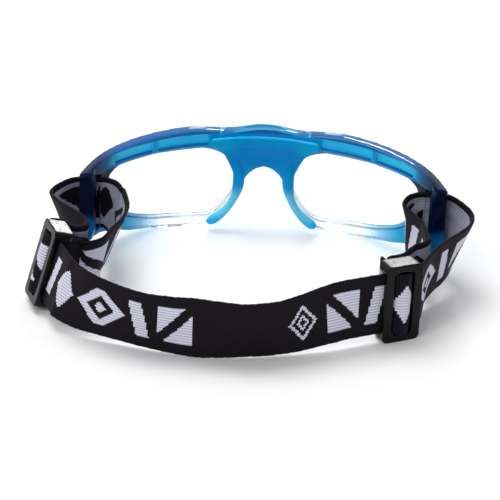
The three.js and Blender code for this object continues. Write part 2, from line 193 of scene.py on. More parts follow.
def polycarbonate():
    """Dip-tinted polycarbonate: blue above, clear in the lower rims, with the wings painted navy as
    shade and painted light and shade on its faces. The numbers in its masks are millimetres, and
    they say between which places a colour fades in."""
    material, n = new_material("polycarbonate")
    coordinates, x, y, z = front_places(n)
    facing = n.split(coordinates.outputs["Normal"])
    up = n.step(facing[2], 0.35, 0.8)
    down = n.step(facing[2], -0.3, -0.75)
    body = n.blend(n.step(x, 18.0, 62.0), rgb(0, 166, 226), rgb(0, 140, 214))
    # light gathers in the sunk panels and along the lip under them
    panel = both(n, n.step(z, 36.2, 36.9), n.step(z, 41.4, 40.7), n.step(x, 22.6, 23.4))
    rib = n.step(distance_from(n, x, 44.5), 0.5, 0.9)
    panel = both(n, panel, rib, n.step(x, 63.0, 59.0))
    body = n.blend(panel, body, n.blend(n.step(x, 30.0, 58.0), rgb(0, 204, 255), rgb(40, 222, 255)))
    lip = both(n, n.step(z, 35.3, 35.6), n.step(z, 36.3, 35.9), n.step(x, 26.0, 34.0))
    lip = both(n, lip, n.step(x, 62.0, 52.0), 0.7)
    body = n.blend(lip, body, rgb(150, 205, 226))
    # a darker band over the panels; then the faces turned up painted slate blue as shade and
    # grazing reflection, with painted light paler over the bridge's middle and along the front lip
    band = both(n, n.step(z, 40.9, 41.5), without(n, up))
    body = n.blend(band, body, rgb(4, 98, 168))
    middle = n.blend(n.step(x, 8.0, 18.0), rgb(44, 160, 212), rgb(16, 108, 168))
    body = n.blend(up, body, n.blend(n.step(x, 30.0, 62.0), middle, rgb(0, 92, 168)))
    lit_front_lip = both(n, up, n.step(y, -1.6, -0.5), n.step(x, 26.0, 10.0))
    body = n.blend(lit_front_lip, body, rgb(96, 186, 222))
    # a painted glint: a short bright line at the upper edge, on each side of the bridge
    tick_glint = both(n, n.step(distance_from(n, x, 18.1), 0.7, 0.35), n.step(z, 40.0, 40.4))
    body = n.blend(tick_glint, body, rgb(40, 178, 226))
    # painted shade: the faces turned down darker
    body = n.blend(down, body, rgb(0, 82, 112))
    # painted shade: the wings darkened to navy, as their thick plastic looks in shadow with the
    # dark webbing behind it, a little paler on their faces turned up
    plate = both(n, n.step(x, 56.0, 63.0), n.step(z, 4.0, 11.0), n.step(z, 37.0, 34.0))
    wing = n.math("MAXIMUM", plate, both(n, n.step(x, 58.0, 68.0), n.step(z, 11.0, 21.0)))
    body = n.blend(wing, body, n.blend(up, rgb(8, 20, 52), rgb(26, 36, 72)))
    # painted light: the rims' lower outer parts glow bright cyan, and their faces turned up and
    # down are painted darker teal as shade lines
    arch = both(n, n.step(x, 36.0, 46.0), n.step(z, 22.0, 16.0))
    edge = n.math("MAXIMUM", up, down)
    glow = n.blend(n.step(x, 50.0, 66.0), rgb(0, 196, 240), rgb(0, 130, 200))
    body = n.blend(arch, body, n.blend(edge, glow, rgb(0, 110, 156)))
    # blue fades to clear down the rims; their faces turned up and down are painted grey as shade
    # lines, turning teal towards the wings where some tint stays
    blue = n.math("MAXIMUM", n.step(z, 19.0, 29.0), n.step(x, 40.0, 57.0))
    clear = n.blend(n.step(x, 28.0, 48.0), rgb(176, 184, 198), rgb(40, 150, 184))
    clear = n.blend(edge, rgb(244, 249, 253), clear)
    tint = n.blend(blue, clear, body)
    cloud = n.noise(coordinates.outputs["Object"], 420.0, 3.0)
    # the share of light let through: 0.3 where tinted, 0.08 in the wings, 0.97 where clear
    through = n.math("MULTIPLY_ADD", wing, -0.22, 0.3)
    more = n.math("MULTIPLY", n.math("SUBTRACT", 0.97, through), without(n, blue))
    through = n.math("ADD", through, more)
    shader = principled(
        n,
        Base_Color=tint,
        Roughness=n.step(cloud, 0.3, 0.7, 0.06, 0.13),
        IOR=1.56,
        Transmission_Weight=through,
        Specular_IOR_Level=0.06,
        Coat_Weight=0.05,
        Coat_Roughness=0.04,
        Normal=n.bump(cloud, 0.00002),
    )
    shadow = n.blend(wing, rgb(222, 238, 245), rgb(80, 92, 116))
    shadow = n.blend(blue, rgb(254, 254, 255), shadow)
    surface(n, lets_light_through(n, shader.outputs[0], shadow))
    return material


def lens_material():
    material, n = new_material("lens")
    coordinates = n.add("ShaderNodeTexCoord")
    smear = n.noise(coordinates.outputs["Object"], 90.0, 4.0, 0.6)
    shader = principled(
        n,
        Base_Color=rgb(251, 253, 255),
        Roughness=n.step(smear, 0.45, 0.8, 0.0, 0.02),
        IOR=1.5,
        Transmission_Weight=1.0,
    )
    surface(n, lets_light_through(n, shader.outputs[0], rgb(250, 252, 254)))
    return material


def silicone():
    """Satin silicone, deep blue on the bridge and paler where light comes through the legs."""
    material, n = new_material("silicone")
    coordinates, x, _, z = front_places(n)
    ears = n.math("MULTIPLY", n.step(x, 10.0, 18.0), n.step(z, 31.0, 36.0))
    body = n.blend(n.step(z, 24.0, 31.0), rgb(0, 156, 220), rgb(0, 140, 212))
    body = n.blend(n.step(z, 35.4, 39.0), body, rgb(0, 158, 218))
    body = n.blend(ears, body, rgb(0, 172, 220))
    legs = n.step(z, 20.0, 14.0)
    feet = n.step(z, 8.5, 4.5)
    colour = n.blend(legs, body, rgb(112, 212, 242))
    colour = n.blend(feet, colour, rgb(24, 186, 236))
    cloud = n.noise(coordinates.outputs["Object"], 160.0, 3.0)
    colour = n.blend(n.step(cloud, 0.35, 0.75, 0.0, 0.22), colour, rgb(0, 126, 204))
    grain = n.noise(coordinates.outputs["Object"], 3800.0, 2.0)
    shader = principled(
        n,
        Base_Color=colour,
        Roughness=n.step(grain, 0.2, 0.8, 0.36, 0.48),
        IOR=1.41,
        Specular_IOR_Level=0.12,
        Subsurface_Weight=0.25,
        Subsurface_Scale=0.003,
        Subsurface_Radius=(0.4, 0.8, 1.0),
        Normal=n.bump(grain, 0.00003),
    )
    surface(n, shader.outputs[0])
    return material


def black_plastic():
    material, n = new_material("black_plastic")
    coordinates = n.add("ShaderNodeTexCoord")
    grain = n.noise(coordinates.outputs["Object"], 2600.0, 3.0)
    wear = n.noise(coordinates.outputs["Object"], 320.0, 5.0, 0.65)
    colour = n.blend(n.step(wear, 0.4, 0.75), rgb(9, 8, 10), rgb(18, 17, 20))
    shader = principled(
        n,
        Base_Color=colour,
        Roughness=n.step(wear, 0.3, 0.8, 0.12, 0.24),
        IOR=1.5,
        Specular_IOR_Level=0.15,
        Normal=n.bump(grain, 0.00003),
    )
    surface(n, shader.outputs[0])
    return material


# ---- the webbing's pattern ------------------------------------------------------------------
# Woven figures of one repeat, as corners in millimetres along and across the webbing: sails,
# leaning bars and lozenges in a row, then a plain stretch with one small thin motif.
REPEAT = 137.0
FIGURE_REACH = 7.8              # how far the figures reach from the webbing's middle line
FIGURES = [
    [(0.0, -7.8), (11.0, -7.8), (0.0, 5.0)],
    [(2.6, 7.8), (13.6, 7.8), (13.6, -5.0)],
    [(16.2, -7.8), (21.2, -7.8), (24.8, 7.8), (19.8, 7.8)],
    [(64.0, -7.8), (69.0, -7.8), (65.4, 7.8), (60.4, 7.8)],
    [(71.6, 7.8), (82.6, 7.8), (71.6, -5.0)],
    [(74.2, -7.8), (85.2, -7.8), (85.2, 5.0)],
]
# Lozenge rings: middle, half length along, half height, width of the ring.
LOZENGES = [
    (31.6, 5.0, 8.4, 5.2), (49.0, 10.0, 9.4, 2.9), (49.0, 2.5, 2.5, 2.6),
    (127.0, 5.8, 8.0, 1.1), (127.0, 2.6, 3.6, 0.9),
]
# The steps in the figures' edges and the pitches of the knitting, in millimetres.
STEP_ALONG = 0.7
STEP_ACROSS = 0.62
RIB_PITCH = 0.9
KNIT_ROW_PITCH = 1.15
PLAIN_MARGIN = 10.2             # past this the reverse is plain dark webbing


def inside(n, along, across, corners):
    """How far a place is inside a convex figure, in millimetres; negative outside."""
    middle = np.mean(corners, axis=0)
    nearest = None
    for (x0, y0), (x1, y1) in zip(corners, corners[1:] + corners[:1]):
        normal = np.array([y1 - y0, x0 - x1]) / math.hypot(x1 - x0, y1 - y0)
        limit = float(normal @ (x0, y0))
        if normal @ middle > limit:
            normal, limit = -normal, -limit
        reach = n.math("MULTIPLY_ADD", along, -float(normal[0]), limit)
        depth = n.math("MULTIPLY_ADD", across, -float(normal[1]), reach)
        nearest = depth if nearest is None else n.math("MINIMUM", nearest, depth)
    return nearest


def figures_group():
    """A node group: place on the webbing in, 1 inside the woven figures and 0 outside."""
    group = bpy.data.node_groups.new("figures", "ShaderNodeTree")
    for name, side in (("Along", "INPUT"), ("Across", "INPUT"), ("Mask", "OUTPUT")):
        group.interface.new_socket(name=name, in_out=side, socket_type="NodeSocketFloat")
    n = Nodes(group)
    place = n.add("NodeGroupInput")
    # woven figures have stepped edges
    along = n.math("SNAP", place.outputs[0], STEP_ALONG)
    across = n.math("SNAP", place.outputs[1], STEP_ACROSS)
    along = n.math("FLOORED_MODULO", along, REPEAT)
    best = None
    for corners in FIGURES:
        depth = inside(n, along, across, corners)
        best = depth if best is None else n.math("MAXIMUM", best, depth)
    height = n.math("ABSOLUTE", across)
    for middle, wide, tall, ring in LOZENGES:
        away = n.math("ABSOLUTE", n.math("SUBTRACT", along, middle))
        slope = math.hypot(wide, tall)
        depth = n.math("MULTIPLY_ADD", away, -tall / slope, wide * tall / slope)
        depth = n.math("MULTIPLY_ADD", height, -wide / slope, depth)
        depth = n.math("MINIMUM", depth, n.math("SUBTRACT", ring, depth))
        depth = n.math("MINIMUM", depth, n.math("SUBTRACT", FIGURE_REACH, height))
        best = n.math("MAXIMUM", best, depth)
    n.add("NodeGroupOutput", {0: n.math("GREATER_THAN", best, 0.0)})
    return group


def webbing(name, group, reverse):
    """One face of the woven elastic. The reverse shows the pattern in opposite colours."""
    material, n = new_material(name)
    uv = n.add("ShaderNodeUVMap", uv_map="webbing").outputs[0]
    u, v, _ = n.split(uv)
    along = n.math("MULTIPLY", u, 1000.0)
    across = n.math("MULTIPLY", v, 1000.0)
    figures = n.add("ShaderNodeGroup", node_tree=group)
    n.feed(figures.inputs[0], along)
    n.feed(figures.inputs[1], across)
    mask = figures.outputs[0]
    if reverse:
        patterned = n.math("LESS_THAN", n.math("ABSOLUTE", across), PLAIN_MARGIN)
        mask = n.math("MULTIPLY", without(n, mask), patterned)
    rib = n.math("SINE", n.math("MULTIPLY", along, 2 * math.pi / RIB_PITCH))
    row = n.math("SINE", n.math("MULTIPLY", across, 2 * math.pi / KNIT_ROW_PITCH))
    beads = n.math("MULTIPLY", row, n.math("MULTIPLY_ADD", rib, 0.5, 0.5))
    bead = n.math("MULTIPLY_ADD", beads, 0.5, 0.5)
    cloud = n.noise(uv, 70.0, 3.0)
    fibre = n.noise(uv, 2600.0, 2.0)
    pale = n.blend(n.step(bead, 0.1, 0.8), rgb(168, 168, 198), rgb(240, 240, 250))
    pale = n.blend(n.step(fibre, 0.4, 0.85, 0.0, 0.35), pale, rgb(120, 120, 150))
    # painted shade: the reverse's pale yarn darkened by about half, a little unevenly, as it lies
    # in shadow inside the loops
    if reverse:
        pale = n.blend(n.step(cloud, 0.3, 0.7, 0.4, 0.6), pale, rgb(92, 94, 122))
    dark = n.blend(n.step(rib, -1.0, 1.0), rgb(13, 8, 15), rgb(27, 20, 31))
    dark = n.blend(n.step(cloud, 0.35, 0.7, 0.0, 0.5), dark, rgb(20, 19, 25))
    height = n.math("MULTIPLY_ADD", bead, 0.6, n.math("MULTIPLY", fibre, 0.4))
    relief = n.math("MULTIPLY_ADD", mask, 0.5, height)
    shader = principled(
        n,
        Base_Color=n.blend(mask, dark, pale),
        Roughness=n.step(fibre, 0.2, 0.8, 0.72, 0.92),
        Sheen_Weight=0.05,
        Sheen_Roughness=0.4,
        Sheen_Tint=rgb(200, 195, 215),
        Specular_IOR_Level=0.15,
        Normal=n.bump(relief, 0.00014),
    )
    surface(n, shader.outputs[0])
    return material


def thread_material():
    material, n = new_material("thread")
    coordinates = n.add("ShaderNodeTexCoord")
    inputs = {"Vector": coordinates.outputs["Object"], "Scale": 900.0, "Distortion": 1.5}
    twist = n.add("ShaderNodeTexWave", inputs).outputs[1]
    shader = principled(
        n,
        Base_Color=n.blend(twist, rgb(26, 25, 30), rgb(62, 60, 70)),
        Roughness=0.6,
        Sheen_Weight=0.2,
        Normal=n.bump(twist, 0.00008),
    )
    surface(n, shader.outputs[0])
    return material


def floor_material():
    material, n = new_material("floor")
    coordinates = n.add("ShaderNodeTexCoord")
    haze = n.noise(coordinates.outputs["Object"], 6.0, 2.0)
    colour = n.blend(n.step(haze, 0.3, 0.7), rgb(246, 246, 247), rgb(250, 250, 250))
    surface(n, principled(n, Base_Color=colour, Roughness=0.6, Specular_IOR_Level=0.2).outputs[0])
    return material


# ---- meshes ---------------------------------------------------------------------------------
def link_mesh(name, vertices, faces):
    mesh = bpy.data.meshes.new(name)
    mesh.from_pydata([tuple(v) for v in vertices], [], faces)
    mesh.validate()
    piece = bpy.data.objects.new(name, mesh)
    bpy.context.scene.collection.objects.link(piece)
    mesh.polygons.foreach_set("use_smooth", [True] * len(mesh.polygons))
    return piece


def vertices_of(mesh):
    flat = np.zeros(len(mesh.vertices) * 3, np.float32)
    mesh.vertices.foreach_get("co", flat)
    return flat.reshape(-1, 3).astype(float)


def set_vertices(mesh, vertices):
    mesh.vertices.foreach_set("co", vertices.astype(np.float32).ravel())
    mesh.update()


# The front follows half an ellipse in plan. Unrolled along it, a wall is a flat slab.
WRAP_HALF_WIDTH = 74.6 * MM
WRAP_DEPTH = 62.0 * MM
TURNS = np.radians(np.linspace(-100.0, 100.0, 4001))


def on_ellipse(turn):
    place = np.stack([WRAP_HALF_WIDTH * np.sin(turn), WRAP_DEPTH * (np.cos(turn) - 1)], -1)
    normal = np.stack([WRAP_DEPTH * np.sin(turn), WRAP_HALF_WIDTH * np.cos(turn)], -1)
    return place, normal / np.linalg.norm(normal, axis=-1, keepdims=True)


# The length along the ellipse at each of those turns, 0 in the middle of the bridge.
ARC = np.cumsum(np.linalg.norm(np.diff(on_ellipse(TURNS)[0], axis=0), axis=1))
ARC = np.concatenate([[0.0], ARC])
ARC -= np.interp(0.0, TURNS, ARC)


def unrolled(vertices):
    """Places as length along the ellipse, depth out from it and height."""
    flat = vertices[:, :2] - ORIGIN[:2]
    turn = np.arcsin(np.clip(flat[:, 0] / WRAP_HALF_WIDTH, -0.98, 0.98))
    for _ in range(12):
        place, normal = on_ellipse(turn)
        away = flat - place
        tangent = np.stack([normal[:, 1], -normal[:, 0]], -1)
        speed = np.hypot(WRAP_HALF_WIDTH * np.cos(turn), WRAP_DEPTH * np.sin(turn))
        turn = turn + 0.8 * np.einsum("ij,ij->i", away, tangent) / speed
    place, normal = on_ellipse(turn)
    depth = np.einsum("ij,ij->i", flat - place, normal)
    return np.stack([np.interp(turn, TURNS, ARC), depth, vertices[:, 2]], -1)


def rolled(vertices):
    turn = np.interp(vertices[:, 0], ARC, TURNS)
    place, normal = on_ellipse(turn)
    flat = place + normal * vertices[:, 1:2] + ORIGIN[:2]
    return np.column_stack([flat, vertices[:, 2]])


def merged_copy(node):
    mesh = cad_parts[node].data.copy()
    mesh.materials.clear()
    work = bmesh.new()
    work.from_mesh(mesh)
    bmesh.ops.remove_doubles(work, verts=work.verts, dist=2e-6)
    work.to_mesh(mesh)
    work.free()
    return mesh


def rounded(node, name, voxel, rounds, wrapped=False, reshape=None):
    """The CAD node's shape with its edges rounded: remeshed into small cells, then smoothed."""
    mesh = merged_copy(node)
    if wrapped:
        set_vertices(mesh, unrolled(vertices_of(mesh)))
    piece = bpy.data.objects.new(name, mesh)
    bpy.context.scene.collection.objects.link(piece)
    cells = piece.modifiers.new("cells", "REMESH")
    cells.mode = "VOXEL"
    cells.voxel_size = voxel
    soften = piece.modifiers.new("soften", "SMOOTH")
    soften.iterations = rounds
    soften.factor = 0.5
    evaluated = piece.evaluated_get(bpy.context.evaluated_depsgraph_get())
    result = bpy.data.meshes.new_from_object(evaluated)
    piece.modifiers.clear()
    piece.data = result
    if reshape:
        set_vertices(result, reshape(vertices_of(result) / MM) * MM)
    if wrapped:
        set_vertices(result, rolled(vertices_of(result)))
    result.polygons.foreach_set("use_smooth", [True] * len(result.polygons))
    return piece


def eased(value):
    value = np.clip(value, 0, 1)
    return value * value * (3 - 2 * value)


# Height of the front's upper edge at places across half of it.
UPPER_EDGE = np.array([
    (0, 43.4), (4, 43.2), (8.5, 42.5), (12.5, 41.9), (17, 41.8), (24, 42.6), (32, 43.1), (43, 42.7),
    (52, 42.1), (60, 41.3), (66, 40.3), (69.4, 39.2), (74, 37.4),
])

EDGE_SLOPE = 0.4                # drop of the upper edge's back, over its last 2 mm of height
HOLLOW_HALF_LENGTH = 10.5       # the hollow on top of the bridge
HOLLOW_HALF_WIDTH = 1.9
HOLLOW_SINK = 0.9
POST_TURN = 72.6                # degrees round the wrap where the posts behind the slots start
POST_SWELL = 1.9


def softened_front(places):
    """The back of the front's upper edge sloped, a shallow eye-shaped hollow on top of the bridge,
    and the posts behind the slots swollen towards the head. Places are arc, depth and height in
    the unrolled front."""
    arc, depth, height = places.T
    turn = np.interp(arc * MM, ARC, TURNS)
    degrees = np.degrees(np.abs(turn))
    across = np.abs(WRAP_HALF_WIDTH / MM * np.sin(turn))
    edge = np.interp(across, *UPPER_EDGE.T)
    thick = np.interp(degrees, [52, 78], [6.0, 4.2])
    behind = np.clip(-depth / (thick / 2) - 1, 0, 1)
    height = height - EDGE_SLOPE * eased((height - edge + 2.0) / 2.0) * behind**2
    pointed = 1 - (arc / HOLLOW_HALF_LENGTH) ** 2
    half_width = HOLLOW_HALF_WIDTH * np.sqrt(np.clip(pointed, 0.05, 1))
    inside_eye = pointed - ((depth + 3.0) / half_width) ** 2
    top = eased((height - 40.6) / 1.2)
    post = eased((degrees - POST_TURN) / 2.2) * eased((-depth - 2.4) / 1.6)
    swell = POST_SWELL * post * eased((height - 6) / 9) * eased((39 - height) / 5)
    sunk = height - HOLLOW_SINK * eased(inside_eye * 2) * top
    return np.column_stack([arc, depth - swell, sunk])


def pad_relief(places):
    """A low ridge across the pad's upper part, and a faint hollow in the middle of its plate."""
    arc, depth, height = places.T
    rear = eased((-depth - 7.4) / 1.2)
    ridge = 0.55 * np.exp(-(((height - 37.4) / 1.3) ** 2)) * eased((17 - np.abs(arc)) / 6)
    hollow = 0.4 * np.exp(-((arc / 7) ** 2) - ((height - 32) / 3.2) ** 2)
    return np.column_stack([arc, depth - rear * (ridge - hollow), height])


def finish_piece(piece, material, node, body):
    piece.data.materials.clear()
    piece.data.materials.append(material)
    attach(piece, body)
    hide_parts(node)


# ---- lenses ---------------------------------------------------------------------------------
# The visible opening of the right lens, as distance from the middle and height.
EYE = [
    (17.6, 31.6), (25, 34.4), (38, 35.3), (51.4, 35.1), (59.2, 33.8), (62.8, 30.2), (63.2, 25),
    (61.2, 17.5), (56, 10.8), (48, 7.2), (37, 5.4), (27, 4.5), (21.4, 5.2), (16.4, 9.8),
    (12.9, 16.2), (12.2, 22), (14, 27.6),
]
LENS_DEPTH = 1.3                # from the front's outer face back to the lens
LENS_THICK = 2.0
LENS_HIDDEN = 1.0               # how far a lens reaches into the rim around its opening
LENS_EDGE = 0.25
RIM_POINTS = 128
LENS_SHARES = np.linspace(0.04, 1, 26)


def catmull(points, at, closed=False):
    """Centripetal Catmull-Rom through the points, at values from 0 to 1."""
    points = np.asarray(points, float)
    count = len(points)
    if closed:
        before, after = points[-1:], points[:2]
        spans = count
    else:
        before, after = 2 * points[:1] - points[1:2], 2 * points[-1:] - points[-2:-1]
        spans = count - 1
    whole = np.concatenate([before, points, after])
    position = np.clip(at, 0, 1) * spans
    index = np.minimum(position.astype(int), spans - 1)
    weight = (position - index)[:, None]
    p0, p1, p2, p3 = (whole[index + k] for k in range(4))
    spaces = (p1 - p0, p2 - p1, p3 - p2)
    gaps = [np.linalg.norm(space, axis=1, keepdims=True) ** 0.5 for space in spaces]
    gaps[1] = np.where(gaps[1] < 1e-4, 1.0, gaps[1])
    d0, d1, d2 = (np.where(gap < 1e-4, gaps[1], gap) for gap in gaps)
    m1 = ((p1 - p0) / d0 - (p2 - p0) / (d0 + d1) + (p2 - p1) / d1) * d1
    m2 = ((p2 - p1) / d1 - (p3 - p1) / (d1 + d2) + (p3 - p2) / d2) * d1
    c2 = -3 * p1 + 3 * p2 - 2 * m1 - m2
    c3 = 2 * p1 - 2 * p2 + m1 + m2
    return p1 + m1 * weight + c2 * weight**2 + c3 * weight**3


def wrap_turn(x, depth):
    """The angle round the wrap of a place with this x on the surface at this depth."""
    turn = np.arcsin(np.clip(x / WRAP_HALF_WIDTH, -1, 1))
    for _ in range(20):
        place, normal = on_ellipse(turn)
        turn = turn + (x - (place[:, 0] - normal[:, 0] * depth)) / WRAP_HALF_WIDTH
    return turn


def lens_piece(side):
    """A curved lens with both faces and a rounded rim, as rings from its middle outwards."""
    rim = catmull(EYE, np.arange(RIM_POINTS) / RIM_POINTS, closed=True)
    tangent = np.roll(rim, -1, 0) - np.roll(rim, 1, 0)
    normal = np.stack([-tangent[:, 1], tangent[:, 0]], -1)
    normal /= np.linalg.norm(normal, axis=1, keepdims=True)
    middle = rim.mean(0)
    outward = np.sign(np.sum(normal * (rim - middle), axis=1, keepdims=True))
    edge = rim + normal * outward * (LENS_HIDDEN - LENS_EDGE)
    rings = []
    for share in LENS_SHARES:
        rings.append((middle + (edge - middle) * share, LENS_DEPTH))
    rings.append((edge + normal * outward * LENS_EDGE, LENS_DEPTH + LENS_EDGE))
    rings.append((edge + normal * outward * LENS_EDGE, LENS_DEPTH + LENS_THICK - LENS_EDGE))
    for share in LENS_SHARES[::-1]:
        rings.append((middle + (edge - middle) * share, LENS_DEPTH + LENS_THICK))
    vertices = []
    for outline, depth in rings:
        x = outline[:, 0] * MM
        turn = wrap_turn(x, depth * MM)
        place, facing = on_ellipse(turn)
        y = place[:, 1] - facing[:, 1] * depth * MM
        vertices.append(np.column_stack([side * x, y, outline[:, 1] * MM]))
    vertices = np.concatenate(vertices) + ORIGIN
    count = len(rim)
    faces = [list(range(count)), list(range(len(vertices) - count, len(vertices)))[::-1]]
    for ring in range(len(rings) - 1):
        for i in range(count):
            j = (i + 1) % count
            a, b = ring * count, (ring + 1) * count
            faces.append([a + j, a + i, b + i, b + j])
    if side < 0:
        faces = [face[::-1] for face in faces]
    name = "lens_glass_right" if side > 0 else "lens_glass_left"
    return link_mesh(name, vertices, faces)


# ---- webbing --------------------------------------------------------------------------------
STRAP_WIDTH = 25.0
STRAP_THICK = 1.4
GATHERED = 22.2                 # its width where it is gathered in a slot
RING_PITCH = 0.8                # length of webbing between two rings of its mesh
# The sliders: centre, heading round the vertical and lean outwards, both in degrees.
GLIDES = {
    "left": ((-81.6, -88.5, 17.2), 110.0, -15.5),
    "right": ((53.2, -104.0, 15.9), 26.6, 0.0),
}


def glide_axes(side):
    """The slider's centre, and its directions along, out of and across the webbing."""
    centre, heading, lean = GLIDES[side]
    angle, tilt = math.radians(heading), math.radians(lean)
    along = np.array([math.cos(angle), math.sin(angle), 0.0])
    out = np.array([math.sin(angle), -math.cos(angle), 0.0])
    if side == "left":
        out = -out
    up = np.array([0.0, 0.0, math.cos(tilt)]) + out * math.sin(tilt)
    out = out * math.cos(tilt) - np.array([0.0, 0.0, math.sin(tilt)])
    return np.array(centre), along, out, up


def in_glide(side, pairs):
    """Stations from places along and out of the webbing, measured from a slider's centre."""
    centre, along, out, up = glide_axes(side)
    lean = (float(up[0] / up[2]), float(up[1] / up[2]))
    return [(*(centre + along * a + out * b), *lean) for a, b in pairs]


STRAIGHT = [(-21.5, 0), (-19, 0), (-11, 0), (-3, 0), (3.6, 0), (4.6, -0.05)]
ROUND_BAR = [(2.7, -5.6), (1.7, -2), (-1.7, -2), (-2.7, -5.6), (-1, -9)]

# Stations: centre x, y, z, how far the upper edge leans in x and y for one unit of height, and
# the width where it isn't the full one.
MAIN = [
    (-65, -40.9, 22.6, 0, 0, GATHERED), (-69.6, -40.9, 22.6, -0.02, 0, GATHERED),
    (-74, -41.9, 22.2, -0.1, 0, 23), (-78.2, -45.6, 20.8, -0.22, 0, 24.4),
    (-79.8, -51, 19.7, -0.34, 0), (-77.6, -57.4, 19, -0.24, -0.1),
    (-74.4, -63.4, 18.6, -0.12, -0.06), (-71.4, -69, 18.2, 0, 0), (-69.2, -73.8, 17.8, 0.1, 0),
    (-69.6, -78.4, 17.6, 0.2, 0.03), (-73, -80.8, 17.6, 0.26, 0.08),
    (-76.4, -78.9, 17.4, 0.26, 0.09), (-78.8, -76.4, 17.3, 0.26, 0.09),
    (-82, -75.2, 17.2, 0.26, 0.09), (-84.2, -78, 17.2, 0.26, 0.09),
    *in_glide("left", STRAIGHT[::-1]),
    (-70.9, -111.9, 16.4, 0.2, 0.05), (-66.2, -115.6, 15.8, 0.12, 0),
    (-60, -118.8, 15, 0.04, -0.08), (-53, -121.8, 14.3, 0, -0.15), (-44, -125, 13.5, 0, -0.2),
    (-31, -127.6, 12.8, 0, -0.12), (-17, -129.2, 12.7, 0, -0.12), (-4, -129, 12.7, 0, -0.22),
    (8, -126, 12.9, 0, -0.2), (18, -121.6, 14, 0, -0.08), (26, -117.6, 15.2, 0, 0),
    *in_glide("right", STRAIGHT),
    (60.2, -99.3, 15.9, 0, 0), (62.2, -94.2, 16.7, 0.03, -0.08), (64.6, -86.6, 18, 0.1, -0.16),
    (68.8, -78.6, 18.6, 0.15, -0.18), (73.8, -70.8, 19, 0.24, -0.16),
    (77.8, -62.4, 19.2, 0.34, -0.08), (79, -53.4, 19.3, 0.34, 0),
    (77.4, -47, 20.4, 0.22, 0, 24.4), (73.8, -42.3, 22, 0.1, 0, 23),
    (69.6, -40.9, 22.6, 0.02, 0, GATHERED), (65, -40.9, 22.6, 0, 0, GATHERED),
]
TAIL_RIGHT = [
    (64.95, -40.9, 22.6, 0, 0, GATHERED), (62.6, -40.95, 22.6, 0, 0, GATHERED),
    (60.2, -42.2, 21.9, -0.03, 0, 23.4), (58.4, -45.2, 20, -0.08, 0), (58, -49.6, 18.8, -0.1, 0),
    (59.4, -54, 18.4, -0.06, 0), (61.8, -59.4, 18, 0, 0), (63.4, -65.4, 17.6, 0, 0),
    (64.2, -70.6, 17.3, 0, 0), (64.8, -75, 17, 0, 0), (62.8, -78.6, 16.8, 0, 0),
    (59.6, -81, 16.6, 0, 0), (57, -84.4, 16.2, 0, 0), (54.6, -88.4, 15.9, 0, 0),
    *in_glide("right", [(1.2, -12.6), (1, -9), *ROUND_BAR, (-1, -14)]),
]
TAIL_LEFT = [
    (-64.95, -40.9, 22.6, 0, 0, GATHERED), (-62.8, -41, 22.6, 0, 0, GATHERED),
    (-60, -42.8, 22, 0.06, 0, 23.4), (-57.9, -46.8, 20.6, 0.18, 0),
    (-56.8, -54, 19.4, 0.3, -0.04), (-57, -62, 18.8, 0.36, -0.1), (-58.4, -70, 18.4, 0.36, -0.12),
    (-60.6, -77, 17.6, 0.32, -0.04), (-63, -82, 15.8, 0.28, 0.04),
    (-66.6, -84.6, 14.2, 0.26, 0.09),
    *in_glide("left", [(-1.1, -12.2), (-1, -9), *[(-a, b) for a, b in ROUND_BAR], (1, -13.6)]),
]


def run_of(stations):
    """Evenly spaced centres, up and out directions, widths and lengths along a stretch."""
    at = np.linspace(0, 1, 6000)
    centre = catmull([s[:3] for s in stations], at)
    lean = catmull([(s[3], s[4], s[5] if len(s) > 5 else STRAP_WIDTH) for s in stations], at)
    length = np.concatenate([[0], np.cumsum(np.linalg.norm(np.diff(centre, axis=0), axis=1))])
    even = np.linspace(0, length[-1], round(length[-1] / RING_PITCH) + 1)

    def resampled(values):
        return np.column_stack([np.interp(even, length, column) for column in values.T])

    centre, lean = resampled(centre), resampled(lean)
    along = np.gradient(centre, axis=0)
    along /= np.linalg.norm(along, axis=1, keepdims=True)
    up = np.column_stack([lean[:, :2], np.ones(len(lean))])
    up -= along * np.sum(up * along, axis=1, keepdims=True)
    up /= np.linalg.norm(up, axis=1, keepdims=True)
    out = np.cross(along, up)
    return centre, up, out, lean[:, 2], even


OUTER, REVERSE, SELVEDGE = range(3)


def cross_section():
    """Places round the webbing's section, across from -1 to 1 and through from -0.5 to 0.5, and
    the material of each side between two places."""
    across = np.linspace(-1, 1, 41)
    round_off = STRAP_THICK / STRAP_WIDTH
    face = [(a * (1 - round_off), 0.5) for a in across]
    turns = np.radians([30, 60, 90, 120, 150])
    upper = [(1 - round_off + round_off * math.sin(t), 0.5 * math.cos(t)) for t in turns]
    back = [(a * (1 - round_off), -0.5) for a in across[::-1]]
    lower = [(-a, -b) for a, b in upper]
    rounded_edge = [SELVEDGE] * (len(upper) + 1)
    kinds = [OUTER] * (len(face) - 1) + rounded_edge + [REVERSE] * (len(back) - 1) + rounded_edge
    return np.array(face + upper + back + lower), kinds


